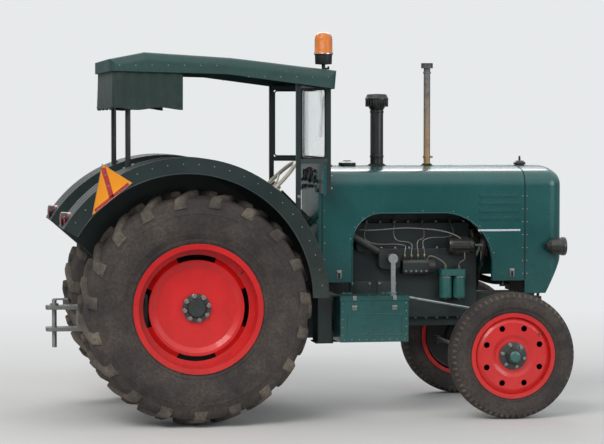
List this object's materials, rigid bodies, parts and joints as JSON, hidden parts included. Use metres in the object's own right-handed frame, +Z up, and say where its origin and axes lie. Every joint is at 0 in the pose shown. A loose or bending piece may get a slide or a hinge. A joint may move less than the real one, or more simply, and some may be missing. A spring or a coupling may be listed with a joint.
{
  "type": "farm tractor",
  "caption": "Four-wheeled farm tractor with arched engine hood, mudguards, three-part windscreen and hard roof, steered front axle, side box and trailer coupling.",
  "frame": {"origin": "on the ground, halfway along the tractor's length and on its centre line", "axes": "+X forward, +Y to the tractor's left, +Z up"},
  "size_m": [3.375, 1.83, 2.4682],
  "materials": {
    "paint_green": "glossy dark blue-green paint, dusty low down",
    "paint_red": "glossy red wheel paint",
    "hub_paint": "dark satin paint",
    "tyre_rubber": "dusty brown-grey rubber",
    "roof_paint": "dark green roof paint",
    "curtain_cloth": "dark green coated cloth",
    "black_paint": "satin black paint",
    "exhaust_steel": "galvanised tube, yellowed by heat low down",
    "cast_iron": "rusty cast iron",
    "bare_steel": "worn bare and galvanised steel",
    "screen_glass": "clear flat glass",
    "amber_lens": "amber ribbed lens over a dark base",
    "wheel_plastic": "pale moulded rim on steel spokes",
    "seat_vinyl": "black coated seat cloth",
    "sign_face": "orange and red reflective face",
    "red_lens": "red lamp lens"
  },
  "bodies": {
    "chassis": {"rear_axle": "paint_green", "pto_shaft": "bare_steel", "gearbox": "paint_green", "engine_block": "paint_green", "front_support": "paint_green", "front_axle": "paint_green", "steering_box": "paint_green", "platform": "paint_green", "side_box": "paint_green", "mudguard_left": "paint_green", "mudguard_right": "paint_green", "dash": "paint_green", "hood": "paint_green", "nose": "paint_green", "grille": "black_paint", "radiator": "black_paint", "radiator_cap": "black_paint", "filler_cap": "black_paint", "intake_stack": "black_paint", "exhaust_manifold": "cast_iron", "exhaust_pipe": "exhaust_steel", "headlamps": "black_paint", "windscreen_frame": "paint_green", "windscreen_glass": "screen_glass", "roof": "roof_paint", "rear_curtain": "curtain_cloth", "rear_posts": "black_paint", "beacon": "amber_lens", "steering_column": "black_paint", "seat_frame": "black_paint", "seat_cushion": "seat_vinyl", "back_cushion": "seat_vinyl", "hitch": "bare_steel", "hitch_pin": "bare_steel", "warning_sign": "sign_face", "rear_lamps": "red_lens", "fan": "black_paint", "injection_pump": "paint_green", "fuel_filters": "paint_green"},
    "rear_wheel_left": {"rear_tyre_left": "tyre_rubber", "rear_wheel_left": "paint_red", "rear_hub_left": "hub_paint"},
    "rear_wheel_right": {"rear_tyre_right": "tyre_rubber", "rear_wheel_right": "paint_red", "rear_hub_right": "hub_paint"},
    "knuckle_right": {"knuckle_right": "paint_green"},
    "knuckle_left": {"knuckle_left": "paint_green"},
    "front_wheel_left": {"front_tyre_left": "tyre_rubber", "front_wheel_left": "paint_red", "front_hub_left": "hub_paint"},
    "front_wheel_right": {"front_tyre_right": "tyre_rubber", "front_wheel_right": "paint_red", "front_hub_right": "hub_paint"},
    "tie_rod": {"tie_rod": "paint_green"},
    "drop_arm": {"drop_arm": "paint_green"},
    "drag_link": {"drag_link": "bare_steel"},
    "steering_wheel": {"steering_wheel": "wheel_plastic"},
    "side_box_lid": {"side_box_lid": "paint_green"}
  },
  "joints": [
    {"name": "rear_left_spin", "type": "hinge", "parent": "chassis", "child": "rear_wheel_left", "pos_m": [-0.7975, 0.7, 0.737], "axis": [0, 1, 0], "continuous": true},
    {"name": "rear_right_spin", "type": "hinge", "parent": "chassis", "child": "rear_wheel_right", "pos_m": [-0.7975, -0.7, 0.737], "axis": [0, 1, 0], "continuous": true},
    {"name": "steer_right", "type": "hinge", "parent": "chassis", "child": "knuckle_right", "pos_m": [1.2325, -0.59, 0.405], "axis": [0, 0, 1], "range_deg": [-35, 35]},
    {"name": "steer_left", "type": "hinge", "parent": "chassis", "child": "knuckle_left", "pos_m": [1.2325, 0.59, 0.405], "axis": [0, 0, 1], "range_deg": [-35, 35]},
    {"name": "front_left_spin", "type": "hinge", "parent": "knuckle_left", "child": "front_wheel_left", "pos_m": [1.2325, 0.725, 0.405], "axis": [0, 1, 0], "continuous": true},
    {"name": "front_right_spin", "type": "hinge", "parent": "knuckle_right", "child": "front_wheel_right", "pos_m": [1.2325, -0.725, 0.405], "axis": [0, 1, 0], "continuous": true},
    {"name": "tie_rod_pivot", "type": "hinge", "parent": "knuckle_right", "child": "tie_rod", "pos_m": [1.0525, -0.59, 0.372], "axis": [0, 0, 1], "range_deg": [-35, 35]},
    {"name": "drop_arm_swing", "type": "hinge", "parent": "chassis", "child": "drop_arm", "pos_m": [0.5425, -0.331, 1.0067], "axis": [0, 1, 0], "range_deg": [-35, 35]},
    {"name": "drag_link_pivot", "type": "hinge", "parent": "drop_arm", "child": "drag_link", "pos_m": [0.5425, -0.3583, 0.775], "axis": [0, 1, 0], "range_deg": [-35, 35]},
    {"name": "steering_wheel_turn", "type": "hinge", "parent": "chassis", "child": "steering_wheel", "pos_m": [-0.1975, 0, 1.48], "axis": [-0.7071, 0, 0.7071], "range_deg": [-490, 490]},
    {"name": "box_lid_hinge", "type": "hinge", "parent": "chassis", "child": "side_box_lid", "pos_m": [0.3475, -0.442, 0.792], "axis": [-1, 0, 0], "range_deg": [0, 95]}
  ],
  "couplings": [
    {"joint": "steer_left", "follows": "steer_right", "ratio": 1},
    {"joint": "tie_rod_pivot", "follows": "steer_right", "ratio": -1},
    {"joint": "drop_arm_swing", "follows": "steer_right", "ratio": 1},
    {"joint": "drag_link_pivot", "follows": "steer_right", "ratio": -1},
    {"joint": "steering_wheel_turn", "follows": "steer_right", "ratio": 14}
  ]
}
